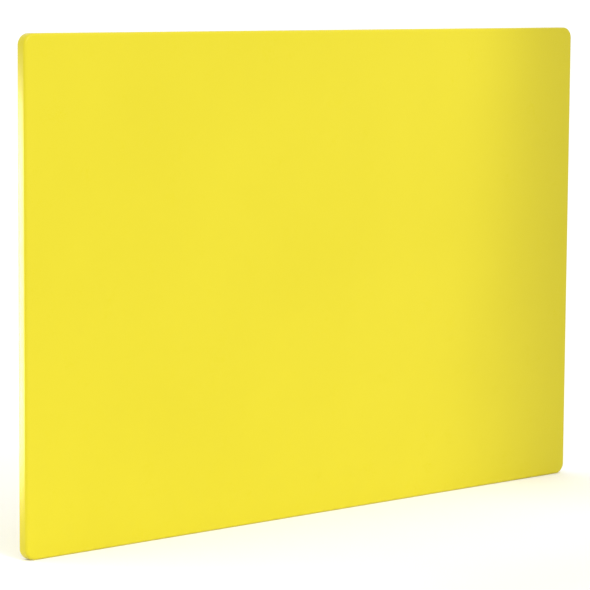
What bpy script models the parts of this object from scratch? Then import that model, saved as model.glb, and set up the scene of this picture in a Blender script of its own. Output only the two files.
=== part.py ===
"""A welding curtain screen: one flat panel, an opaque vinyl curtain drawn over a knock-down frame.

The frame is two rails and two uprights of square steel tube, plugged on to four moulded corner
connectors, with a thinner centre upright that keeps the rails from bowing in. The corners are riveted
into the rails. Each end of each upright is locked by a spring button that pops through the tube, so
the bare frame comes apart without tools. The curtain is a flat front sheet with four edge strips,
which turn round the tubes on to the back. Screws through brass grommets hold it there.

Metres, +Z up. The front faces -Y. The origin is at the middle of the bottom edge, halfway through the
depth.
"""

import math

import bmesh
import bpy
from mathutils import Matrix, Vector

# Driving dimensions
WIDTH = 1.830
HEIGHT = 1.220
CORNER_RADIUS = 0.028
EDGE_RADIUS = 0.0065
SHEET = 0.0006
TUBE = 0.028575
TUBE_WALL = 0.0015
POST = 0.0254
POST_RADIUS = 0.003

# Gaps between pieces that rest on each other, and inside clamped hardware
FIT = 0.0003
SNUG = 0.0001

# Curtain
HEM_WIDTH = 0.026
HEM_LIFT = 0.001
SEAM_GAP = 0.0005

# Spigots, which plug into the tubes, and the spring buttons inside them
SPIGOT_LENGTH = 0.055
SPIGOT_WALL = 0.003
SPIGOT_PLAY = 0.0004
SPIGOT_TAPER = 0.002
SPIGOT_RADIUS = 0.0032
POCKET_WALL = 0.003
BUTTON_AT = 0.032
BUTTON_RADIUS = 0.00395
BUTTON_RISE = 0.003
LEAF_THICKNESS = 0.0008
LEAF_WIDTH = 0.010
LEAF_ROOT = 0.0047
LEAF_TIP = 0.038
DOME_CHAMFER = 0.00025
DOME_STEPS = 4
SPIGOT_SUNK = 0.004
SOCKET_FLANGE = 0.003
SOCKET_HEIGHT = 0.006
SOCKET_LENGTH = 0.070
FLANGE_RADIUS = 0.005
SOCKET_RIVET_AT = 0.026

# Blind rivets, with a low domed head and a swollen tail
RIVET_RADIUS = 0.0024
RIVET_HEAD_RADIUS = 0.0045
RIVET_HEAD = 0.0013
RIVET_SHOULDER_RADIUS = 0.0030
RIVET_SHOULDER = 0.0010
RIVET_TAIL_RADIUS = 0.0035
RIVET_TAIL_END_RADIUS = 0.0030
RIVET_TAIL = 0.0022
RIVET_TAIL_GAP = 0.0002

# Flanged button-head screws with a hexagonal recess
SCREW_RADIUS = 0.0025
SCREW_LENGTH = 0.008
SCREW_POINT = 0.001
SCREW_HEAD = 0.00275
SCREW_TOP_RADIUS = 0.0025
SCREW_HEAD_RADIUS = 0.0046
SCREW_NECK = 0.0008
SCREW_WASHER_RADIUS = 0.0060
SCREW_WASHER = 0.0006
KEY_RADIUS = 0.00173
KEY_DEPTH = 0.0016

# Grommets
GROMMET_BORE = 0.0046
GROMMET_BARREL = 0.0050
GROMMET_RADIUS = 0.0085
GROMMET_FLANGE = 0.0005
GROMMET_BEVEL = 0.0009
GROMMET_PITCH = 0.457

# Holes, and the slot for a leaf's root, are a little larger than what goes through them
BUTTON_HOLE = BUTTON_RADIUS + 0.00045
SPIGOT_BUTTON_HOLE = BUTTON_RADIUS + 0.00065
RIVET_HOLE = RIVET_RADIUS + 0.0002
SCREW_HOLE = SCREW_RADIUS + 0.0002
SLOT_BEHIND = 0.0002
SLOT_IN_FRONT = 0.00085
DRILL_RUN = 0.001

# Levels through the depth, from the front sheet to the screw heads
COVER_DEPTH = SHEET + FIT + TUBE + HEM_LIFT + SHEET
DEPTH = COVER_DEPTH + SNUG + GROMMET_FLANGE + SNUG + SCREW_HEAD
FRONT = -DEPTH / 2
TUBE_FRONT = FRONT + SHEET + FIT
TUBE_MIDDLE = TUBE_FRONT + TUBE / 2
TUBE_BACK = TUBE_FRONT + TUBE
HEM_INSIDE = TUBE_BACK + HEM_LIFT
HEM_OUTSIDE = FRONT + COVER_DEPTH
HEAD_SEAT = HEM_OUTSIDE + SNUG + GROMMET_FLANGE + SNUG

# Places in the plane of the panel, as distances in from its outer edge
FRAME_INSET = SHEET + FIT
TUBE_RADIUS = EDGE_RADIUS - FRAME_INSET
TUBE_LINE = FRAME_INSET + TUBE / 2
TUBE_INSIDE = FRAME_INSET + TUBE
TUBE_START = TUBE_INSIDE + FIT
FRAME_RADIUS = CORNER_RADIUS - FRAME_INSET

# Inside a spigot: the leaf's middle plane, out from the spigot's axis, and what is between it and the air
LEAF_DEPTH = SPIGOT_WALL + FIT + LEAF_THICKNESS / 2
BUTTON_BODY = LEAF_DEPTH + SPIGOT_PLAY + TUBE_WALL
BUTTON_TOP = BUTTON_BODY + BUTTON_RISE
RIVET_GRIP = TUBE_WALL + SPIGOT_PLAY + SPIGOT_WALL

ROUND_STEPS = 3
CORNER_STEPS = 2 * ROUND_STEPS
SMALL_SIDES = 12
BUTTON_SIDES = 16
SHARP_ANGLE = math.radians(35)


def clear_scene():
    for obj in list(bpy.data.objects):
        bpy.data.objects.remove(obj)


def make_material(name, colour, roughness, metallic=0.0):
    material = bpy.data.materials.new(name)
    material.use_nodes = True
    shader = material.node_tree.nodes["Principled BSDF"]
    shader.inputs["Base Color"].default_value = (*colour, 1.0)
    shader.inputs["Roughness"].default_value = roughness
    shader.inputs["Metallic"].default_value = metallic
    return material


def place(name, mesh, material, location=(0, 0, 0), rotation=(0, 0, 0)):
    """A new object, rotated by degrees about X, Y and Z. Objects that show one mesh share it."""
    if not mesh.materials:
        mesh.materials.append(material)
    obj = bpy.data.objects.new(name, mesh)
    obj.location = location
    obj.rotation_euler = [math.radians(angle) for angle in rotation]
    bpy.context.scene.collection.objects.link(obj)
    return obj


def finished(bm, name):
    """The mesh that bm holds, with its faces pointing out and its round stretches smooth."""
    bmesh.ops.recalc_face_normals(bm, faces=bm.faces[:])
    mesh = bpy.data.meshes.new(name)
    bm.to_mesh(mesh)
    bm.free()
    mesh.shade_smooth()
    mesh.set_sharp_from_angle(angle=SHARP_ANGLE)
    return mesh


def loft(sections, name, ring=False):
    """A solid through sections with the same number of points, closed as a ring or capped at its ends."""
    bm = bmesh.new()
    loops = [[bm.verts.new(point) for point in section] for section in sections]
    pairs = list(zip(loops, loops[1:]))
    if ring:
        pairs.append((loops[-1], loops[0]))
    for one, other in pairs:
        count = len(one)
        for i in range(count):
            j = (i + 1) % count
            bm.faces.new((one[i], one[j], other[j], other[i]))
    if not ring:
        bm.faces.new(loops[0])
        bm.faces.new(loops[-1])
    return finished(bm, name)


def turned(profile, sides, name):
    """A solid of revolution about Z, from (radius, height) points.

    A profile that starts away from the axis is closed on itself, and any other starts and ends on the axis.
    """
    bm = bmesh.new()
    points = [bm.verts.new((radius, 0, height)) for radius, height in profile]
    edges = [bm.edges.new(pair) for pair in zip(points, points[1:])]
    if profile[0][0] > 0:
        edges.append(bm.edges.new((points[-1], points[0])))
    bmesh.ops.spin(
        bm, geom=points + edges, axis=(0, 0, 1), cent=(0, 0, 0), angle=math.tau, steps=sides, use_merge=True
    )
    bmesh.ops.remove_doubles(bm, verts=bm.verts[:], dist=1e-6)
    return finished(bm, name)


def cylinder(start, direction, radius, length, sides=SMALL_SIDES):
    """A cylinder that runs from start along direction."""
    direction = Vector(direction).normalized()
    turn = Vector((0, 0, 1)).rotation_difference(direction).to_matrix().to_4x4()
    middle = Vector(start) + direction * length / 2
    bm = bmesh.new()
    bmesh.ops.create_cone(
        bm,
        cap_ends=True,
        segments=sides,
        radius1=radius,
        radius2=radius,
        depth=length,
        matrix=Matrix.Translation(middle) @ turn,
    )
    return finished(bm, "cylinder")


def box(low, high):
    low, high = Vector(low), Vector(high)
    stretch = Matrix.Diagonal((*(high - low), 1))
    bm = bmesh.new()
    bmesh.ops.create_cube(bm, size=1, matrix=Matrix.Translation((low + high) / 2) @ stretch)
    return finished(bm, "box")


def combined(mesh, others, operation):
    """mesh, in triangles, after a Boolean with each of the other meshes, which are one closed shell each."""
    target = bpy.data.objects.new("target", mesh)
    bpy.context.scene.collection.objects.link(target)
    helpers = []
    for other in others:
        helper = bpy.data.objects.new("helper", other)
        helper.hide_render = True
        helper.display_type = "WIRE"
        bpy.context.scene.collection.objects.link(helper)
        modifier = target.modifiers.new("boolean", "BOOLEAN")
        modifier.solver = "EXACT"
        modifier.object = helper
        modifier.operation = operation
        helpers.append(helper)
    graph = bpy.context.evaluated_depsgraph_get()
    bm = bmesh.new()
    bm.from_mesh(bpy.data.meshes.new_from_object(target.evaluated_get(graph)))
    bmesh.ops.triangulate(bm, faces=bm.faces[:])
    for obj in [target, *helpers]:
        bpy.data.objects.remove(obj)
    return finished(bm, mesh.name)


def arc(centre, radius, start, end, steps):
    """(a, b) points round part of a circle, its angles in degrees."""
    angles = [math.radians(start + (end - start) * step / steps) for step in range(steps + 1)]
    return [(centre[0] + radius * math.cos(angle), centre[1] + radius * math.sin(angle)) for angle in angles]


def rounded_rectangle(width, depth, radius, steps=ROUND_STEPS):
    """(a, b) points round a rectangle with round corners, centred on the origin."""
    a, b = width / 2 - radius, depth / 2 - radius
    points = []
    for quarter, centre in enumerate([(a, b), (-a, b), (-a, -b), (a, -b)]):
        points += arc(centre, radius, 90 * quarter, 90 * quarter + 90, steps)
    return points


def upright_loft(levels, name):
    """A solid through (outline, height) pairs, each outline a list of (x, y) points."""
    return loft([[(x, y, height) for x, y in outline] for outline, height in levels], name)


# Frame tubes. A tube stands along its own Z from 0. Its +X side faces into the panel.


def tube_mesh(name, side, radius, length, inner_holes, back_holes, back):
    """Square tube with round holes in its inner wall, as (height, radius), and in its back wall."""
    bore = side - 2 * TUBE_WALL
    outer = rounded_rectangle(side, side, radius)
    inner = rounded_rectangle(bore, bore, radius - TUBE_WALL)
    sections = [
        [(x, y, 0) for x, y in outer],
        [(x, y, length) for x, y in outer],
        [(x, y, length) for x, y in inner],
        [(x, y, 0) for x, y in inner],
    ]
    mesh = loft(sections, name, ring=True)
    through = 3 * TUBE_WALL
    start = side / 2 + TUBE_WALL
    drills = []
    for height, hole_radius in inner_holes:
        drills.append(cylinder((start, 0, height), (-1, 0, 0), hole_radius, through, BUTTON_SIDES))
    for height, hole_radius in back_holes:
        drills.append(cylinder((0, back * start, height), (0, -back, 0), hole_radius, through, BUTTON_SIDES))
    return combined(mesh, drills, "DIFFERENCE")


def grommet_places(length):
    """Distances along a side of that length from its middle, one pitch apart."""
    count = int(length / GROMMET_PITCH)
    return [(i - (count - 1) / 2) * GROMMET_PITCH for i in range(count)]


def make_tubes(steel):
    hole_at = BUTTON_AT - FIT

    rail_length = WIDTH - 2 * TUBE_START
    middle = rail_length / 2
    rivets = [hole_at, rail_length - hole_at, middle - SOCKET_RIVET_AT, middle + SOCKET_RIVET_AT]
    screws = [(middle + place_along, SCREW_HOLE) for place_along in grommet_places(WIDTH)]
    rail = tube_mesh("rail", TUBE, TUBE_RADIUS, rail_length, [(at, RIVET_HOLE) for at in rivets], screws, 1)
    place("top_rail", rail, steel, (-middle, TUBE_MIDDLE, HEIGHT - TUBE_LINE), (0, 90, 0))
    place("bottom_rail", rail, steel, (middle, TUBE_MIDDLE, TUBE_LINE), (0, -90, 0))

    upright_length = HEIGHT - 2 * TUBE_START
    buttons = [(hole_at, BUTTON_HOLE), (upright_length - hole_at, BUTTON_HOLE)]
    screws = [(upright_length / 2 + place_along, SCREW_HOLE) for place_along in grommet_places(HEIGHT)]
    for name, side, turn in (("left_upright", -1, 0), ("right_upright", 1, 180)):
        back = -1 if turn else 1
        upright = tube_mesh(name, TUBE, TUBE_RADIUS, upright_length, buttons, screws, back)
        place(name, upright, steel, (side * (WIDTH / 2 - TUBE_LINE), TUBE_MIDDLE, TUBE_START), (0, 0, turn))

    post_start = TUBE_INSIDE + FIT + SOCKET_HEIGHT + FIT
    post_length = HEIGHT - 2 * post_start
    buttons = [(hole_at, BUTTON_HOLE), (post_length - hole_at, BUTTON_HOLE)]
    post = tube_mesh("centre_upright", POST, POST_RADIUS, post_length, [], buttons, 1)
    place("centre_upright", post, steel, (0, TUBE_MIDDLE, post_start))


# Spigots. A spigot stands along +Z from its base. Its button, where it has one, looks out at +X.


def spigot_mesh(side, base):
    """The outside of a spigot, tapered at its end, that starts at the height base."""
    full = rounded_rectangle(side, side, SPIGOT_RADIUS)
    end_side = side - 2 * SPIGOT_TAPER / 3
    end = rounded_rectangle(end_side, end_side, SPIGOT_RADIUS)
    return upright_loft([(full, base), (full, SPIGOT_LENGTH - SPIGOT_TAPER), (end, SPIGOT_LENGTH)], "spigot")


def spigot_cutters(side, has_button):
    """What is cut from a spigot: the hollow, open at its end, then the button's hole and the leaf's slot."""
    half = side / 2 - SPIGOT_WALL
    cutters = [box((-half, -half, 0), (half, half, SPIGOT_LENGTH + SPIGOT_WALL))]
    if not has_button:
        return cutters
    start = (side / 2 + DRILL_RUN, 0, BUTTON_AT)
    cutters.append(cylinder(start, (-1, 0, 0), SPIGOT_BUTTON_HOLE, SPIGOT_WALL + 2 * DRILL_RUN, BUTTON_SIDES))
    leaf_at = side / 2 - LEAF_DEPTH
    half_leaf = LEAF_THICKNESS / 2
    half_width = LEAF_WIDTH / 2 + FIT
    low = (leaf_at - half_leaf - SLOT_IN_FRONT, -half_width, -LEAF_ROOT - FIT)
    high = (leaf_at + half_leaf + SLOT_BEHIND, half_width, SNUG)
    cutters.append(box(low, high))
    return cutters


def make_leaf():
    """A spring leaf with its button, from its hinge line at the origin up +Z, the button towards +X."""
    half = LEAF_THICKNESS / 2
    leaf = box((-half, -LEAF_WIDTH / 2, 0), (half, LEAF_WIDTH / 2, LEAF_ROOT + LEAF_TIP))
    leaf.name = "spring_button"
    base, rise = BUTTON_BODY + DOME_CHAMFER, BUTTON_RISE - DOME_CHAMFER
    dome = arc((0, 0), 1, 90, 0, DOME_STEPS)
    profile = [(BUTTON_RADIUS * a, base + rise * b) for a, b in dome]
    profile[0] = (0, base + rise)
    profile += [(BUTTON_RADIUS, 0), (0, 0)]
    button = turned(profile, BUTTON_SIDES, "button")
    button.transform(Matrix.Translation((0, 0, LEAF_ROOT + BUTTON_AT)) @ Matrix.Rotation(math.pi / 2, 4, "Y"))
    return combined(leaf, [button], "UNION")


def corner_outline(inset):
    """(x, z) points round a corner block with its outer corner at the origin, pulled in from its edges."""
    curve = arc((FRAME_RADIUS, FRAME_RADIUS), FRAME_RADIUS - inset, 270, 180, CORNER_STEPS)
    return [(TUBE, inset), *curve, (inset, TUBE), (TUBE, TUBE)]


def make_corner_mesh():
    """The bottom left corner connector, with its outer corner at the origin.

    Its spigot along +X is riveted into a rail, and its spigot up +Z holds a spring button.
    """
    spigot_side = TUBE - 2 * TUBE_WALL - 2 * SPIGOT_PLAY
    rounding = arc((0, 0), TUBE_RADIUS, 270, 360, ROUND_STEPS)
    front = [(TUBE_RADIUS - a, -TUBE / 2 + TUBE_RADIUS + b) for a, b in rounding]
    back = [(inset, -level) for inset, level in reversed(front)]
    sections = [[(x, level, z) for x, z in corner_outline(inset)] for inset, level in front + back]
    block = loft(sections, "corner_connector")

    up = Matrix.Translation((TUBE / 2, 0, TUBE))
    along = Matrix.Translation((TUBE, 0, TUBE / 2)) @ Matrix.Rotation(math.pi / 2, 4, "Y")
    spigots, cutters = [], []
    for turn, has_button in ((up, True), (along, False)):
        spigot = spigot_mesh(spigot_side, -SPIGOT_SUNK)
        hollows = spigot_cutters(spigot_side, has_button)
        for mesh in (spigot, *hollows):
            mesh.transform(turn)
        spigots.append(spigot)
        cutters += hollows
    rivet_depth = RIVET_GRIP + DRILL_RUN
    cutters.append(cylinder((TUBE + BUTTON_AT, 0, TUBE), (0, 0, -1), RIVET_HOLE, rivet_depth))
    low = FRAME_RADIUS - (FRAME_RADIUS - TUBE_RADIUS - POCKET_WALL / 2) / math.sqrt(2)
    high, web = TUBE - 2 * POCKET_WALL - FIT, LEAF_WIDTH / 2 + POCKET_WALL / 2
    for side in (-1, 1):
        near, far = sorted((side * web, side * TUBE))
        cutters.append(box((low, near, low), (high, far, high)))
    return combined(combined(block, spigots, "UNION"), cutters, "DIFFERENCE")


def make_socket_mesh():
    """The bottom post socket: a flange to lie on the rail, a boss to stand the post on, and a spigot up +Z.

    Its origin is on top of the boss. The flange is long in Y, and the button looks out at +X.
    """
    side = POST - 2 * TUBE_WALL - 2 * SPIGOT_PLAY
    flange_top = SOCKET_FLANGE - SOCKET_HEIGHT
    plate = rounded_rectangle(POST, SOCKET_LENGTH, FLANGE_RADIUS)
    flange = upright_loft([(plate, -SOCKET_HEIGHT), (plate, flange_top)], "post_socket")
    footprint = rounded_rectangle(POST - FIT, POST - FIT, POST_RADIUS)
    sunk = -SOCKET_HEIGHT + SOCKET_FLANGE / 2
    boss = upright_loft([(footprint, sunk), (footprint, 0)], "boss")
    spigot = spigot_mesh(side, sunk)
    cutters = spigot_cutters(side, True)
    for y in (-SOCKET_RIVET_AT, SOCKET_RIVET_AT):
        cutters.append(cylinder((0, y, 0), (0, 0, -1), RIVET_HOLE, 2 * SOCKET_HEIGHT))
    return combined(combined(flange, [boss, spigot], "UNION"), cutters, "DIFFERENCE")


def make_corners(plastic):
    mesh = make_corner_mesh()
    left, right = -WIDTH / 2 + FRAME_INSET, WIDTH / 2 - FRAME_INSET
    low, high = FRAME_INSET, HEIGHT - FRAME_INSET
    place("corner_bottom_left", mesh, plastic, (left, TUBE_MIDDLE, low))
    place("corner_bottom_right", mesh, plastic, (right, TUBE_MIDDLE, low), (0, 0, 180))
    place("corner_top_left", mesh, plastic, (left, TUBE_MIDDLE, high), (180, 0, 0))
    place("corner_top_right", mesh, plastic, (right, TUBE_MIDDLE, high), (0, 180, 0))


def make_sockets(plastic):
    mesh = make_socket_mesh()
    level = TUBE_INSIDE + FIT + SOCKET_HEIGHT
    place("post_socket_bottom", mesh, plastic, (0, TUBE_MIDDLE, level), (0, 0, 90))
    place("post_socket_top", mesh, plastic, (0, TUBE_MIDDLE, HEIGHT - level), (180, 0, 90))


def make_spring_buttons(steel):
    """Each object's origin is on the line about which its leaf bends."""
    mesh = make_leaf()
    corner_leaf = TUBE / 2 - TUBE_WALL - SPIGOT_PLAY - LEAF_DEPTH
    x = WIDTH / 2 - TUBE_LINE - corner_leaf
    low = TUBE_INSIDE - LEAF_ROOT
    high = HEIGHT - low
    place("spring_button_bottom_left", mesh, steel, (-x, TUBE_MIDDLE, low))
    place("spring_button_bottom_right", mesh, steel, (x, TUBE_MIDDLE, low), (0, 0, 180))
    place("spring_button_top_left", mesh, steel, (-x, TUBE_MIDDLE, high), (180, 0, 0))
    place("spring_button_top_right", mesh, steel, (x, TUBE_MIDDLE, high), (0, 180, 0))

    post_leaf = POST / 2 - TUBE_WALL - SPIGOT_PLAY - LEAF_DEPTH
    y = TUBE_MIDDLE + post_leaf
    low = TUBE_INSIDE + FIT + SOCKET_HEIGHT - LEAF_ROOT
    place("spring_button_centre_bottom", mesh, steel, (0, y, low), (0, 0, 90))
    place("spring_button_centre_top", mesh, steel, (0, y, HEIGHT - low), (180, 0, 90))


# Curtain


def make_front_sheet(vinyl):
    inset = EDGE_RADIUS + FIT
    radius = CORNER_RADIUS - inset
    x, z = WIDTH / 2 - CORNER_RADIUS, HEIGHT - CORNER_RADIUS
    corners = [(x, z, 0), (-x, z, 90), (-x, CORNER_RADIUS, 180), (x, CORNER_RADIUS, 270)]
    outline = []
    for centre_x, centre_z, start in corners:
        outline += arc((centre_x, centre_z), radius, start, start + 90, CORNER_STEPS)
    sections = [[(a, y, b) for a, b in outline] for y in (FRONT, FRONT + SHEET)]
    place("curtain_front", loft(sections, "curtain_front"), vinyl)


def edge_profile():
    """(inset, y) points round an edge strip, which curls from the front arris down the side to the back."""
    front_y, back_y = FRONT + EDGE_RADIUS, HEM_OUTSIDE - EDGE_RADIUS
    outer = arc((EDGE_RADIUS, front_y), EDGE_RADIUS, 270, 180, ROUND_STEPS)
    outer += arc((EDGE_RADIUS, back_y), EDGE_RADIUS, 180, 90, ROUND_STEPS)
    outer.append((HEM_WIDTH, HEM_OUTSIDE))
    inner = arc((EDGE_RADIUS, front_y), EDGE_RADIUS - SHEET, 270, 180, ROUND_STEPS)
    inner += arc((EDGE_RADIUS, back_y), EDGE_RADIUS - SHEET, 180, 90, ROUND_STEPS)
    inner.append((HEM_WIDTH, HEM_INSIDE))
    return outer + inner[::-1]


def edge_mesh(name, middle, holes):
    """The edge strip that faces middle degrees round from +X. It ends on mitres halfway round its corners."""
    profile = edge_profile()
    x, z = WIDTH / 2 - CORNER_RADIUS, HEIGHT / 2 - CORNER_RADIUS
    sections = []
    for start, end in ((middle - 45, middle), (middle, middle + 45)):
        mitre = start if end == middle else end
        side_x, side_z = math.cos(math.radians(mitre)), math.sin(math.radians(mitre))
        centre_x, centre_z = math.copysign(x, side_x), HEIGHT / 2 + math.copysign(z, side_z)
        for step, (out_x, out_z) in enumerate(arc((0, 0), 1, start, end, ROUND_STEPS)):
            on_mitre = step == (0 if mitre == start else ROUND_STEPS)
            back = SEAM_GAP / 2 * (1 if mitre == start else -1) if on_mitre else 0
            section = [(CORNER_RADIUS - inset, y) for inset, y in profile]
            sections.append(
                [
                    (centre_x + r * out_x - back * out_z, y, centre_z + r * out_z + back * out_x)
                    for r, y in section
                ]
            )
    start_y = HEM_OUTSIDE + SHEET
    punches = [cylinder((x, start_y, z), (0, -1, 0), GROMMET_BARREL + FIT, 3 * SHEET) for x, z in holes]
    return combined(loft(sections, name), punches, "DIFFERENCE")


def hem_holes():
    """(x, z) of the grommets in each side's hem, which lie over the middle of the tube."""
    x, z = WIDTH / 2 - TUBE_LINE, HEIGHT - TUBE_LINE
    along, up = grommet_places(WIDTH), grommet_places(HEIGHT)
    return {
        "right": [(x, HEIGHT / 2 + place_up) for place_up in up],
        "top": [(place_along, z) for place_along in along],
        "left": [(-x, HEIGHT / 2 + place_up) for place_up in up],
        "bottom": [(place_along, TUBE_LINE) for place_along in along],
    }


def make_edge_strips(vinyl):
    for quarter, (side, holes) in enumerate(hem_holes().items()):
        name = "curtain_edge_" + side
        place(name, edge_mesh(name, 90 * quarter, holes), vinyl)


# Fasteners. Each is turned about its own Z, with its head up, and 0 is the face that it seats on.


def make_rivet_mesh():
    tail = -RIVET_GRIP - RIVET_TAIL_GAP
    profile = [
        (0, RIVET_HEAD),
        (RIVET_SHOULDER_RADIUS, RIVET_SHOULDER),
        (RIVET_HEAD_RADIUS, 0),
        (RIVET_RADIUS, 0),
        (RIVET_RADIUS, tail),
        (RIVET_TAIL_RADIUS, tail),
        (RIVET_TAIL_END_RADIUS, tail - RIVET_TAIL),
        (0, tail - RIVET_TAIL),
    ]
    return turned(profile, SMALL_SIDES, "rivet")


def make_screw_mesh():
    profile = [
        (0, SCREW_HEAD),
        (SCREW_TOP_RADIUS, SCREW_HEAD),
        (SCREW_HEAD_RADIUS, SCREW_NECK),
        (SCREW_WASHER_RADIUS, SCREW_WASHER),
        (SCREW_WASHER_RADIUS, 0),
        (SCREW_RADIUS, 0),
        (SCREW_RADIUS, -SCREW_LENGTH),
        (0, -SCREW_LENGTH - SCREW_POINT),
    ]
    screw = turned(profile, SMALL_SIDES, "screw")
    start = (0, 0, SCREW_HEAD + DRILL_RUN)
    recess = cylinder(start, (0, 0, -1), KEY_RADIUS, KEY_DEPTH + DRILL_RUN, sides=6)
    return combined(screw, [recess], "DIFFERENCE")


def make_grommet_mesh():
    hem_side = -SNUG - GROMMET_FLANGE
    inner_side = hem_side - 2 * SNUG - SHEET
    profile = [
        (GROMMET_BORE, inner_side - GROMMET_FLANGE),
        (GROMMET_RADIUS, inner_side - GROMMET_FLANGE),
        (GROMMET_RADIUS, inner_side),
        (GROMMET_BARREL, inner_side),
        (GROMMET_BARREL, hem_side),
        (GROMMET_RADIUS, hem_side),
        (GROMMET_RADIUS - GROMMET_BEVEL, -SNUG),
        (GROMMET_BORE, -SNUG),
    ]
    return turned(profile, SMALL_SIDES, "grommet")


def make_hem_fasteners(brass, stainless):
    grommet, screw = make_grommet_mesh(), make_screw_mesh()
    for side, holes in hem_holes().items():
        for number, (x, z) in enumerate(holes, start=1):
            seat = (x, HEAD_SEAT, z)
            place(f"grommet_{side}_{number}", grommet, brass, seat, (-90, 0, 0))
            place(f"screw_{side}_{number}", screw, stainless, seat, (-90, 0, 0))


def make_rivets(aluminium):
    rivet = make_rivet_mesh()
    across = WIDTH / 2 - TUBE_INSIDE - BUTTON_AT
    for level, word, turn in ((TUBE_INSIDE, "bottom", 0), (HEIGHT - TUBE_INSIDE, "top", 180)):
        into_panel = 1 if word == "bottom" else -1
        on_tube = level + into_panel * SNUG
        on_flange = level + into_panel * (FIT + SOCKET_FLANGE + SNUG)
        for hand, side in (("left", -1), ("right", 1)):
            in_rail = (side * across, TUBE_MIDDLE, on_tube)
            in_socket = (side * SOCKET_RIVET_AT, TUBE_MIDDLE, on_flange)
            place(f"rail_rivet_{word}_{hand}", rivet, aluminium, in_rail, (turn, 0, 0))
            place(f"socket_rivet_{word}_{hand}", rivet, aluminium, in_socket, (turn, 0, 0))


def main():
    clear_scene()
    galvanised = make_material("galvanised_steel", (0.60, 0.61, 0.62), 0.42, 1.0)
    plastic = make_material("black_nylon", (0.025, 0.025, 0.027), 0.55)
    spring_steel = make_material("spring_steel", (0.66, 0.66, 0.65), 0.28, 1.0)
    aluminium = make_material("aluminium_rivet", (0.78, 0.78, 0.78), 0.35, 1.0)
    stainless = make_material("stainless_screw", (0.68, 0.68, 0.67), 0.25, 1.0)
    brass = make_material("brass_grommet", (0.78, 0.58, 0.22), 0.3, 1.0)
    vinyl = make_material("yellow_vinyl", (0.913, 0.799, 0.048), 0.45)
    make_tubes(galvanised)
    make_corners(plastic)
    make_sockets(plastic)
    make_spring_buttons(spring_steel)
    make_rivets(aluminium)
    make_front_sheet(vinyl)
    make_edge_strips(vinyl)
    make_hem_fasteners(brass, stainless)


main()
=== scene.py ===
"""The looks of a welding curtain screen: a taut vinyl curtain over a tube frame that is open at the back.

Metres, in the frame's own axes: +X along the width, -Y towards the front, +Z up.
"""

import math

import bmesh
import bpy
from mathutils import Matrix, Vector, noise


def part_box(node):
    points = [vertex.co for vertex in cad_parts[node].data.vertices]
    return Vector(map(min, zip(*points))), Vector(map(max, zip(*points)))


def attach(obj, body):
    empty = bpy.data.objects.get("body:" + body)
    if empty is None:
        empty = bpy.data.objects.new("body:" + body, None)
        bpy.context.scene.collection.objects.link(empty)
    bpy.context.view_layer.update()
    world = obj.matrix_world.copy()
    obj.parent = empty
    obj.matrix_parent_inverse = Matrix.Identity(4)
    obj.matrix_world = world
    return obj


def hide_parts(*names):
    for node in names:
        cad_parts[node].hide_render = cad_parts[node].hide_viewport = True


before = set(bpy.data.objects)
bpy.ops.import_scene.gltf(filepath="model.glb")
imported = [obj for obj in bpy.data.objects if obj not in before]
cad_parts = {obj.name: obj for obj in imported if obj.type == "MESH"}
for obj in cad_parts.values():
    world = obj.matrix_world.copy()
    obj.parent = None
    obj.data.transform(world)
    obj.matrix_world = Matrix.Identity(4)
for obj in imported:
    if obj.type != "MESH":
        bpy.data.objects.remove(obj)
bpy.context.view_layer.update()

ROOT = "screen"
BACK = Vector((0, 1, 0))
UP = Vector((0, 0, 1))

# The screen's outer faces, from the frame
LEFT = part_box("curtain_edge_left")[0].x
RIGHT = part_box("curtain_edge_right")[1].x
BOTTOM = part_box("curtain_edge_bottom")[0].z
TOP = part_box("curtain_edge_top")[1].z
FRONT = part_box("curtain_front")[0].y
HEM_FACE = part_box("curtain_edge_top")[1].y
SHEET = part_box("curtain_front")[1].y - FRONT
WIDTH, HEIGHT, DEPTH = RIGHT - LEFT, TOP - BOTTOM, HEM_FACE - FRONT
MIDDLE_X, MIDDLE_Z = (LEFT + RIGHT) / 2, (TOP + BOTTOM) / 2

# The curtain's rounding, the hem behind it and the holes in the hem
CORNER_RADIUS = 0.028
EDGE_RADIUS = 0.0065
HEM_WIDTH = 0.026
PUNCH_RADIUS = 0.0052
PUNCH_DEPTH = 6 * SHEET
HALF_X, HALF_Z = WIDTH / 2 - CORNER_RADIUS, HEIGHT / 2 - CORNER_RADIUS

# How finely the curtain is divided, and how many sides round holes and hardware have
GRID_STEP = 0.018
EDGE_STEPS = 7
CORNER_STEPS = 20
FLAT_SHARES = (0.25, 0.5, 0.75)
HOLE_SIDES = 32
GROMMET_SIDES = 48
SCREW_SIDES = 40
RIVET_SIDES = 40

# The front's slack, which starts some way in from the edge, and its waves to the metre in x and z
SLACK = 0.0006
SLACK_START = 0.030
SLACK_FADE = 0.20
SLACK_WAVES_X, SLACK_WAVES_Z, SLACK_SHIFT = 1.7, 1.3, 5.0

# The hem between grommets: how far it lifts, ripples and draws back, and how far a grommet holds it down
HEM_LIFT = 0.0004
HEM_RIPPLE = 0.0005
HEM_DRAW = 0.0011
HEM_HOLD = 0.16
HEM_WAVES, HEM_SHIFT = 22, 3.0

# The welded lap at each corner of the hem
WELD_HALF_WIDTH = 0.005
WELD_THICKNESS = 0.0007
WELD_PRESS = 0.0004
WELD_BARS = 9

# How far a grommet's face stands off the hem, and a rivet's head off its wall
GROMMET_FACE = 0.0007
RIVET_HEAD = 0.0013

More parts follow.
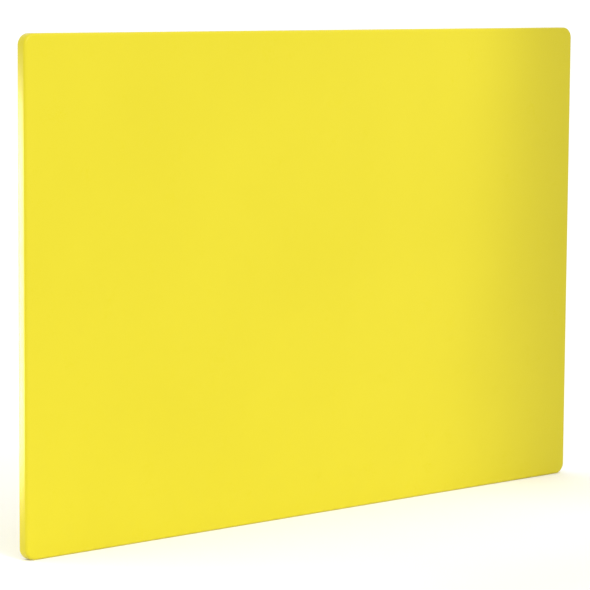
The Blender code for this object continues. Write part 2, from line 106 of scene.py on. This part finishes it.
# Small metal pieces: dark and light colour, range of roughness and scale of grain
METALS = {
    "spring_steel": ((0.30, 0.30, 0.295), (0.46, 0.46, 0.45), (0.24, 0.38), 1500),
    "aluminium_rivet": ((0.44, 0.44, 0.45), (0.60, 0.60, 0.60), (0.30, 0.44), 1200),
    "stainless_screw": ((0.28, 0.28, 0.275), (0.42, 0.42, 0.41), (0.24, 0.38), 1500),
    "brass_grommet": ((0.34, 0.23, 0.075), (0.58, 0.42, 0.16), (0.24, 0.38), 1200),
}

# Camera
AZIMUTH = -41.93
ELEVATION = 6.58
ROLL = 0.407
LENS = 169.7
SENSOR_WIDTH = 36
CAMERA_DISTANCE = 6.931
AIM = (-0.0848, FRONT, 0.5633)

# Room and lights
WORLD_STRENGTH = 1.12
FLOOR_SIZE = 30
KEY_LIGHT = {
    "place": (-0.40, -0.953, 1.22),
    "aim": (-0.40, 0, 0.67),
    "size": (2.20, 1.8),
    "power": 6.0,
    "spread": 37,
}
END_LIGHT = {
    "place": (-1.355, 0.6, 0.56),
    "aim": (-1.0, 0, 0.60),
    "size": (0.36, 0.92),
    "power": 1.85,
    "spread": 44,
}

SMOOTH_ANGLE = math.radians(35)
CURTAIN_SMOOTH_ANGLE = math.radians(50)


# Mesh helpers


def add_object(name, data):
    obj = bpy.data.objects.new(name, data)
    bpy.context.scene.collection.objects.link(obj)
    return obj


def shade(mesh, smooth_angle):
    mesh.shade_smooth()
    mesh.set_sharp_from_angle(angle=smooth_angle)


def new_object(name, bm, smooth_angle=SMOOTH_ANGLE):
    bmesh.ops.recalc_face_normals(bm, faces=bm.faces[:])
    mesh = bpy.data.meshes.new(name)
    bm.to_mesh(mesh)
    bm.free()
    shade(mesh, smooth_angle)
    return add_object(name, mesh)


def arc(centre, radius, start, end, steps):
    """(a, b) points round part of a circle, its angles in degrees."""
    angles = [math.radians(start + (end - start) * i / steps) for i in range(steps + 1)]
    return [(centre[0] + radius * math.cos(a), centre[1] + radius * math.sin(a)) for a in angles]


def turned(profile, sides):
    """(radius, height) points turned about Z: from axis to axis, or off it as a closed ring."""
    bm = bmesh.new()
    angles = [math.tau * i / sides for i in range(sides)]
    rings = []
    for radius, height in profile:
        if radius > 0:
            places = [(radius * math.cos(a), radius * math.sin(a), height) for a in angles]
            rings.append([bm.verts.new(place) for place in places])
        else:
            rings.append([bm.verts.new((0, 0, height))] * sides)
    if profile[0][0] > 0:
        rings.append(rings[0])
    for one, other in zip(rings, rings[1:]):
        for i in range(sides):
            j = (i + 1) % sides
            corners = dict.fromkeys((one[i], one[j], other[j], other[i]))
            bm.faces.new(list(corners))
    return bm


def cylinder(sides, radius, length, place):
    """A cylinder about its own Z, set by the matrix place."""
    bm = bmesh.new()
    size = {"segments": sides, "radius1": radius, "radius2": radius, "depth": length}
    bmesh.ops.create_cone(bm, cap_ends=True, matrix=place, **size)
    return bm


def cut(obj, cutter, smooth_angle=SMOOTH_ANGLE):
    """Takes the cutter out of obj for good."""
    helper = new_object("cutter", cutter)
    modifier = obj.modifiers.new("cut", "BOOLEAN")
    modifier.object = helper
    modifier.operation = "DIFFERENCE"
    modifier.solver = "EXACT"
    graph = bpy.context.evaluated_depsgraph_get()
    mesh = bpy.data.meshes.new_from_object(obj.evaluated_get(graph))
    obj.modifiers.clear()
    obj.data = mesh
    bpy.data.objects.remove(helper)
    shade(mesh, smooth_angle)


# Materials


class Nodes:
    """A material's node tree, with short calls for the nodes that the finishes share."""

    def __init__(self, name, metallic=0.0):
        self.material = bpy.data.materials.new(name)
        self.material.use_nodes = True
        self.tree = self.material.node_tree
        self.shader = self.tree.nodes["Principled BSDF"]
        self.shader.inputs["Metallic"].default_value = metallic
        self.place = self.node("ShaderNodeTexCoord").outputs["Object"]

    def node(self, kind, **settings):
        made = self.tree.nodes.new(kind)
        for key, value in settings.items():
            setattr(made, key, value)
        return made

    def link(self, output, target):
        self.tree.links.new(output, target)

    def fill(self, socket, value):
        """Gives a socket another node's output, or a number or colour of its own."""
        if isinstance(value, bpy.types.NodeSocket):
            self.link(value, socket)
        else:
            socket.default_value = value

    def stretched(self, scale):
        mapping = self.node("ShaderNodeMapping")
        mapping.inputs["Scale"].default_value = scale
        self.link(self.place, mapping.inputs["Vector"])
        return mapping.outputs["Vector"]

    def noise(self, scale, detail, rough=0.5, stretch=None):
        made = self.node("ShaderNodeTexNoise")
        made.inputs["Scale"].default_value = scale
        made.inputs["Detail"].default_value = detail
        made.inputs["Roughness"].default_value = rough
        self.link(self.stretched(stretch) if stretch else self.place, made.inputs["Vector"])
        return made.outputs["Fac"]

    def threads(self, direction, scale, distortion):
        """Fine straight threads, one beside the next along a direction."""
        made = self.node("ShaderNodeTexWave", wave_type="BANDS", wave_profile="SIN")
        made.bands_direction = direction
        made.inputs["Scale"].default_value = scale
        made.inputs["Distortion"].default_value = distortion
        made.inputs["Detail"].default_value = 0.0
        self.link(self.place, made.inputs["Vector"])
        return made.outputs["Fac"]

    def cell_tones(self, scale):
        """Two tones for each cell, unrelated to each other."""
        cells = self.node("ShaderNodeTexVoronoi", feature="F1")
        cells.inputs["Scale"].default_value = scale
        self.link(self.place, cells.inputs["Vector"])
        parts = self.node("ShaderNodeSeparateColor")
        self.link(cells.outputs["Color"], parts.inputs["Color"])
        return parts.outputs["Red"], parts.outputs["Green"]

    def math(self, operation, a, b):
        made = self.node("ShaderNodeMath", operation=operation)
        self.fill(made.inputs[0], a)
        self.fill(made.inputs[1], b)
        return made.outputs["Value"]

    def between(self, value, source, target):
        """value, as it crosses the range source, taken across the range target."""
        made = self.node("ShaderNodeMapRange")
        names = ("From Min", "From Max", "To Min", "To Max")
        for name, number in zip(names, source + target):
            made.inputs[name].default_value = number
        self.link(value, made.inputs["Value"])
        return made.outputs["Result"]

    def mixed(self, factor, one, other):
        made = self.node("ShaderNodeMix", data_type="RGBA")
        self.link(factor, made.inputs["Factor"])
        for socket, colour in ((made.inputs["A"], one), (made.inputs["B"], other)):
            self.fill(socket, (*colour, 1.0) if isinstance(colour, tuple) else colour)
        return made.outputs["Result"]

    def bump(self, height, strength, distance, below=None):
        made = self.node("ShaderNodeBump")
        made.inputs["Strength"].default_value = strength
        made.inputs["Distance"].default_value = distance
        self.link(height, made.inputs["Height"])
        if below:
            self.link(below, made.inputs["Normal"])
        return made.outputs["Normal"]

    def finish(self, colour, roughness, normal):
        self.link(colour, self.shader.inputs["Base Color"])
        self.link(roughness, self.shader.inputs["Roughness"])
        self.link(normal, self.shader.inputs["Normal"])
        return self.material


def vinyl_material():
    """Yellow vinyl on a polyester scrim, whose threads print through as a fine weave under a matt grain."""
    yellow, warm_yellow = (0.584, 0.501, 0.0152), (0.597, 0.514, 0.0167)
    mark_yellow, thread_yellow = (0.564, 0.480, 0.0177), (0.500, 0.420, 0.0140)
    deep_share = 0.6
    n = Nodes("yellow_vinyl")
    n.shader.inputs["Specular IOR Level"].default_value = 0.2
    across, deep, upright = [n.threads(axis, scale=300, distortion=0.25) for axis in ("X", "Y", "Z")]
    square = n.math("MAXIMUM", across, upright)
    weave = n.math("MAXIMUM", square, n.math("MULTIPLY", deep, deep_share))
    grain = n.noise(scale=900, detail=2.0)
    drift = n.noise(scale=2.3, detail=3.0)
    marks = n.noise(scale=14, detail=6.0, rough=0.62)
    colour = n.mixed(n.between(drift, (0.35, 0.65), (0, 1)), yellow, warm_yellow)
    colour = n.mixed(n.between(marks, (0.60, 0.80), (0, 0.25)), colour, mark_yellow)
    colour = n.mixed(n.between(weave, (0.0, 1.0), (0.30, 0.0)), colour, thread_yellow)
    worn = n.between(marks, (0.3, 0.7), (0.28, 0.34))
    roughness = n.math("ADD", worn, n.between(grain, (0.3, 0.7), (-0.03, 0.03)))
    woven = n.bump(weave, strength=0.35, distance=0.00015)
    return n.finish(colour, roughness, n.bump(grain, strength=0.20, distance=0.0001, below=woven))


def zinc_material():
    """Zinc-plated tube: soft spangle, drawing lines along the tube and a few dull patches."""
    dark_zinc, light_zinc, dull_zinc = (0.36, 0.375, 0.39), (0.52, 0.53, 0.54), (0.29, 0.30, 0.315)
    n = Nodes("galvanised_steel", metallic=1.0)
    tone, gloss = n.cell_tones(scale=130)
    drawn = n.noise(scale=60, detail=3.0, rough=0.6, stretch=(1, 1, 14))
    patches = n.noise(scale=9, detail=4.0)
    colour = n.mixed(n.between(tone, (0, 1), (0.15, 0.85)), dark_zinc, light_zinc)
    colour = n.mixed(n.between(patches, (0.52, 0.72), (0, 0.55)), colour, dull_zinc)
    dulled = n.between(patches, (0.4, 0.7), (0, 0.12))
    roughness = n.math("ADD", n.between(gloss, (0, 1), (0.30, 0.40)), dulled)
    return n.finish(colour, roughness, n.bump(drawn, strength=0.10, distance=0.0002))


def nylon_material():
    """Moulded black nylon with a fine spark-eroded grain."""
    black, grey_black = (0.018, 0.018, 0.020), (0.032, 0.032, 0.035)
    n = Nodes("black_nylon")
    grain = n.noise(scale=1400, detail=2.0)
    blotch = n.noise(scale=45, detail=3.0)
    colour = n.mixed(n.between(blotch, (0.35, 0.7), (0, 1)), black, grey_black)
    roughness = n.between(blotch, (0.3, 0.7), (0.44, 0.60))
    return n.finish(colour, roughness, n.bump(grain, strength=0.25, distance=0.0001))


def metal_material(name):
    """A small bright metal part, with brushed grain and some dulling."""
    dark, light, rough, grain_scale = METALS[name]
    n = Nodes(name, metallic=1.0)
    grain = n.noise(grain_scale, detail=3.0, rough=0.6)
    dull = n.noise(scale=180, detail=4.0, rough=0.6)
    colour = n.mixed(n.between(dull, (0.35, 0.7), (0, 1)), light, dark)
    roughness = n.between(dull, (0.3, 0.7), rough)
    return n.finish(colour, roughness, n.bump(grain, strength=0.15, distance=0.00008))


# Curtain


def edge_rings():
    """(distance out from the corner axis, y) round the curtain's section.

    They run out over the front, round the front arris, back along the edge, on to the hem and round its cut
    end, and then home along the inside. The first and last are where the flat front begins.
    """
    front_y, back_y = FRONT + EDGE_RADIUS, HEM_FACE - EDGE_RADIUS
    start = CORNER_RADIUS - EDGE_RADIUS
    hem = CORNER_RADIUS - HEM_WIDTH
    nose = hem - SHEET * 0.35

    def layer(depth):
        radius = EDGE_RADIUS - depth
        points = [(0, FRONT + depth)]
        points += [(start * share, FRONT + depth) for share in FLAT_SHARES]
        points += arc((start, front_y), radius, 270, 360, EDGE_STEPS)
        points += arc((start, back_y), radius, 0, 90, EDGE_STEPS)
        points += [(start + (hem - start) * share, HEM_FACE - depth) for share in FLAT_SHARES]
        return points + [(hem, HEM_FACE - depth)]

    rounded_end = [(nose, HEM_FACE - SHEET * share) for share in (0.3, 0.7)]
    return layer(0) + rounded_end + layer(SHEET)[::-1]


def edge_spokes(along, up):
    """(x, z, out x, out z) round the curtain, anticlockwise from the bottom right corner's axis."""
    sides = [
        (0, [(HALF_X, z) for z in reversed(up)]),
        (90, [(x, HALF_Z) for x in along]),
        (180, [(-HALF_X, z) for z in up]),
        (270, [(x, -HALF_Z) for x in reversed(along)]),
    ]
    spokes = []
    for degrees, bases in sides:
        out = math.radians(degrees)
        spokes += [(x, z, math.cos(out), math.sin(out)) for x, z in bases]
        corner_x, corner_z = bases[-1]
        for out_x, out_z in arc((0, 0), 1, degrees, degrees + 90, CORNER_STEPS)[1:-1]:
            spokes.append((corner_x, corner_z, out_x, out_z))
    return spokes


def grommet_places():
    """The centre of each grommet on the hem, from the frame's own nodes."""
    corners = [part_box(name) for name in sorted(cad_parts) if name.startswith("grommet_")]
    return [(low + high) / 2 for low, high in corners]


def settle(point, grommets):
    """How far the vinyl lies from its flat shape: a move in Y, and the hem's draw out towards the edge."""
    x, y, z = point
    from_edge = min(x - LEFT, RIGHT - x, z - BOTTOM, TOP - z)
    if y < FRONT + 2 * SHEET:
        free = max(0.0, min(1.0, (from_edge - SLACK_START) / SLACK_FADE))
        free = free * free * (3 - 2 * free)
        wave = noise.noise(Vector((x * SLACK_WAVES_X, 0.0, z * SLACK_WAVES_Z + SLACK_SHIFT)))
        return SLACK * free * wave, 0.0
    if y < HEM_FACE - 2 * SHEET or from_edge < EDGE_RADIUS:
        return 0.0, 0.0
    nearest = min(math.hypot(x - place.x, z - place.z) for place in grommets)
    away = min(1.0, nearest / HEM_HOLD)
    inward = (from_edge - EDGE_RADIUS) / (HEM_WIDTH - EDGE_RADIUS)
    ripple = noise.noise(Vector((x * HEM_WAVES, z * HEM_WAVES, HEM_SHIFT)))
    lift = inward * away * (HEM_LIFT + HEM_RIPPLE * ripple)
    return max(0.0, lift), HEM_DRAW * inward * away * away


def make_curtain(material):
    """One sheet over the whole front, wrapped round the frame and hemmed on the back."""
    columns = round(2 * HALF_X / GRID_STEP)
    rows = round(2 * HALF_Z / GRID_STEP)
    along = [HALF_X - 2 * HALF_X * i / columns for i in range(columns + 1)]
    up = [HALF_Z - 2 * HALF_Z * j / rows for j in range(rows + 1)]
    spokes = edge_spokes(along, up)

    bm = bmesh.new()
    rings = []
    for r, y in edge_rings():
        places = [(MIDDLE_X + x + r * out_x, y, MIDDLE_Z + z + r * out_z) for x, z, out_x, out_z in spokes]
        rings.append([bm.verts.new(place) for place in places])
    for one, other in zip(rings, rings[1:]):
        for i in range(len(spokes)):
            j = (i + 1) % len(spokes)
            bm.faces.new((one[i], one[j], other[j], other[i]))
    for y in (FRONT, FRONT + SHEET):
        grid = [[bm.verts.new((MIDDLE_X + x, y, MIDDLE_Z + z)) for z in up] for x in along]
        for i in range(columns):
            for j in range(rows):
                bm.faces.new((grid[i][j], grid[i + 1][j], grid[i + 1][j + 1], grid[i][j + 1]))
    bmesh.ops.remove_doubles(bm, verts=bm.verts[:], dist=1e-5)
    bmesh.ops.dissolve_degenerate(bm, dist=1e-6, edges=bm.edges[:])

    grommets = grommet_places()
    for vert in bm.verts:
        lift, draw = settle(vert.co, grommets)
        x, z = vert.co.x - MIDDLE_X, vert.co.z - MIDDLE_Z
        out_x, out_z = max(abs(x) - HALF_X, 0), max(abs(z) - HALF_Z, 0)
        out = Vector((math.copysign(out_x, x), 0, math.copysign(out_z, z)))
        vert.co.y += lift
        vert.co += out.normalized() * draw
    curtain = new_object("curtain", bm, CURTAIN_SMOOTH_ANGLE)
    through = Matrix.Rotation(math.pi / 2, 4, "X")
    for place in grommets:
        hole = Matrix.Translation((place.x, HEM_FACE, place.z)) @ through
        cut(curtain, cylinder(HOLE_SIDES, PUNCH_RADIUS, PUNCH_DEPTH, hole), CURTAIN_SMOOTH_ANGLE)
    curtain.data.materials.clear()
    curtain.data.materials.append(material)
    return curtain


def make_corner_weld(name, side_x, side_z, material):
    """The welded lap on the hem's mitre: a thin band with pressed cross-bars."""
    clear, inset, shoulder = 0.00005, 0.0005, 0.86
    length = HEM_WIDTH - EDGE_RADIUS - 2 * inset
    steps = 4 * WELD_BARS
    bm = bmesh.new()
    sections = []
    for i in range(steps + 1):
        pressed = WELD_PRESS * (0.5 + 0.5 * math.cos(math.tau * WELD_BARS * i / steps))
        half, height = WELD_HALF_WIDTH, WELD_THICKNESS - pressed
        level = [(-half, 0.0), (-half * shoulder, height), (half * shoulder, height), (half, 0.0)]
        sections.append([bm.verts.new((length * i / steps, across, up)) for across, up in level])
    for one, other in zip(sections, sections[1:]):
        for i in range(4):
            j = (i + 1) % 4
            bm.faces.new((one[i], one[j], other[j], other[i]))
    bm.faces.new(sections[0])
    bm.faces.new(sections[-1])
    weld = new_object(name, bm)
    weld.data.materials.append(material)
    corner = Vector((MIDDLE_X + side_x * HALF_X, HEM_FACE + clear, MIDDLE_Z + side_z * HALF_Z))
    out = Vector((side_x, 0, side_z)).normalized()
    start = corner + out * (CORNER_RADIUS - HEM_WIDTH + inset)
    turn = Matrix((out, BACK.cross(out), BACK)).transposed().to_4x4()
    weld.matrix_world = Matrix.Translation(start) @ turn
    return weld


def add_curtain(material):
    """The curtain and its four corner welds, in place of the frame's curtain parts, attached to the
    screen's body.
    """
    curtain = make_curtain(material)
    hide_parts(*[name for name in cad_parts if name.startswith("curtain_")])
    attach(curtain, ROOT)
    corners = (("bottom_left", -1, -1), ("bottom_right", 1, -1), ("top_left", -1, 1), ("top_right", 1, 1))
    for word, side_x, side_z in corners:
        weld = make_corner_weld("corner_weld_" + word, side_x, side_z, material)
        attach(weld, ROOT)


# Small hardware, all turned about Z with the seat at 0


def grommet_mesh():
    """A washer behind the hem, a barrel through it, and a flange with a rolled crown on its face."""
    bore, barrel, bevel, rim = 0.0047, 0.0050, 0.0083, 0.0085
    washer = [(bore, -0.0019), (bevel, -0.0019), (rim, -0.0017), (bevel, -0.00145), (barrel, -0.0014)]
    flange = [(barrel, -0.0006), (bevel, -0.0006), (rim, -0.0004)]
    crown = [(a, b * 0.55 - 0.0001) for a, b in arc((0.00745, 0.0), 0.00095, 20, 180, 8)]
    lip = [(0.0062, -0.0001), (bore + 0.0002, -0.0001), (bore, -0.0004)]
    return turned(washer + flange + crown + lip, GROMMET_SIDES)


def screw_mesh():
    """A button-head screw with a flange under its head and a threaded shank."""
    crest, root, pitch, turns = 0.0025, 0.0021, 0.0008, 10
    top = [(0, 0.00275), (0.0020, 0.00275), (0.0023, 0.0026)]
    dome = arc((0, -0.00375), 0.0065, 68, 45, 7)
    flange = [(0.0047, 0.0008), (0.0057, 0.0007), (0.0060, 0.0004), (0.0060, 0.0)]
    thread = [(crest, 0.0)]
    for turn in range(turns):
        thread += [(crest, -pitch * (turn + 0.35)), (root, -pitch * (turn + 0.75))]
    point = [(0.0023, -0.0085), (0.0016, -0.0090), (0, -0.0090)]
    return turned(top + dome + flange + thread + point, SCREW_SIDES)


def rivet_mesh():
    """A blind rivet: a low dome with the mandrel's hollow, a shank and the bulb behind the wall."""
    shank = 0.0024
    hollow = [(0, 0.0007), (0.0009, 0.0007), (0.0010, 0.0012)]
    dome = arc((0, -0.0071), 0.0084, 83, 58, 7)
    stem = [(0.0045, -0.00002), (shank, -0.00002), (shank, -0.0051)]
    bulb = [(0.0034, -0.0053), (0.0035, -0.0064), (0.0028, -0.0072), (0, -0.0073)]
    return turned(hollow + dome + stem + bulb, RIVET_SIDES)


def hex_recess():
    """The space that a hexagon key fills in a screw's head."""
    radius, depth, middle = 0.00173, 0.0026, 0.00245
    return cylinder(6, radius, depth, Matrix.Translation((0, 0, middle)))


def hem_seat(name):
    """Where a hem fastener's head sits, and which way it faces."""
    low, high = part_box(name)
    return Vector(((low.x + high.x) / 2, HEM_FACE + GROMMET_FACE, (low.z + high.z) / 2)), BACK


def rivet_seat(name):
    """Where a rivet's head sits on its rail's inner wall, and which way it faces."""
    low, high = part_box(name)
    at_bottom = "_bottom_" in name
    level = high.z - RIVET_HEAD if at_bottom else low.z + RIVET_HEAD
    return Vector(((low.x + high.x) / 2, (low.y + high.y) / 2, level)), UP if at_bottom else -UP


def replace_each(prefix, bm, material, seat_of, recess=None):
    """A detailed piece for each CAD node whose name starts with prefix, seated where the node is."""
    master = new_object(prefix + "master", bm)
    if recess is not None:
        cut(master, recess)
    mesh = master.data
    mesh.materials.append(material)
    bpy.data.objects.remove(master)
    for name in sorted(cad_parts):
        if name.startswith(prefix):
            seat, facing = seat_of(name)
            piece = add_object("fine_" + name, mesh)
            turn = UP.rotation_difference(facing).to_matrix().to_4x4()
            piece.matrix_world = Matrix.Translation(seat) @ turn
            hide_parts(name)
            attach(piece, ROOT)


def add_hardware():
    rivet = metal_material("aluminium_rivet")
    screw = metal_material("stainless_screw")
    brass = metal_material("brass_grommet")
    replace_each("grommet_", grommet_mesh(), brass, hem_seat)
    replace_each("screw_", screw_mesh(), screw, hem_seat, hex_recess())
    replace_each("rail_rivet_", rivet_mesh(), rivet, rivet_seat)
    replace_each("socket_rivet_", rivet_mesh(), rivet, rivet_seat)


def finish_frame():
    """Gives the tubes, connectors, sockets and spring buttons their materials."""
    zinc = zinc_material()
    nylon = nylon_material()
    finishes = {
        "rail": zinc,
        "upright": zinc,
        "corner_": nylon,
        "post_socket": nylon,
        "spring_button": metal_material("spring_steel"),
    }
    for name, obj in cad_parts.items():
        for word, material in finishes.items():
            if word in name and "rivet" not in name:
                obj.data.materials.clear()
                obj.data.materials.append(material)
                shade(obj.data, SMOOTH_ANGLE)


# Room, lights and camera


def make_room():
    world = bpy.data.worlds.new("studio")
    bpy.context.scene.world = world
    world.use_nodes = True
    background = world.node_tree.nodes["Background"]
    background.inputs["Color"].default_value = (1, 1, 1, 1)
    background.inputs["Strength"].default_value = WORLD_STRENGTH
    bpy.context.scene.view_settings.view_transform = "Standard"

    bm = bmesh.new()
    bmesh.ops.create_grid(bm, x_segments=1, y_segments=1, size=FLOOR_SIZE)
    floor = new_object("floor", bm)
    n = Nodes("floor")
    tone = n.noise(scale=1.5, detail=3.0)
    pale, paler = (0.975, 0.975, 0.975), (0.99, 0.99, 0.99)
    colour = n.mixed(n.between(tone, (0.3, 0.7), (0, 1)), pale, paler)
    n.link(colour, n.shader.inputs["Base Color"])
    n.shader.inputs["Roughness"].default_value = 0.9
    n.shader.inputs["Specular IOR Level"].default_value = 0.1
    floor.data.materials.append(n.material)


def make_light(name, place, aim, size, power, spread):
    light = bpy.data.lights.new(name, "AREA")
    light.shape = "RECTANGLE"
    light.size, light.size_y = size
    light.energy = power
    light.spread = math.radians(spread)
    obj = add_object(name, light)
    obj.location = place
    obj.rotation_euler = (Vector(aim) - Vector(place)).to_track_quat("-Z", "Y").to_euler()
    obj.visible_camera = False


def make_camera():
    azimuth, elevation = math.radians(AZIMUTH), math.radians(ELEVATION)
    level = math.cos(elevation)
    ahead = Vector((-math.sin(azimuth) * level, math.cos(azimuth) * level, -math.sin(elevation)))
    camera = bpy.data.cameras.new("camera")
    camera.lens = LENS
    camera.sensor_width = SENSOR_WIDTH
    obj = add_object("camera", camera)
    roll = Matrix.Rotation(math.radians(ROLL), 3, "Z").to_quaternion()
    turn = ahead.to_track_quat("-Z", "Y") @ roll
    place = Vector(AIM) - ahead * CAMERA_DISTANCE
    obj.matrix_world = Matrix.Translation(place) @ turn.to_matrix().to_4x4()
    bpy.context.scene.camera = obj


def main():
    make_room()
    make_camera()
    make_light("key", **KEY_LIGHT)
    make_light("end_softbox", **END_LIGHT)
    finish_frame()
    add_curtain(vinyl_material())
    add_hardware()


main()
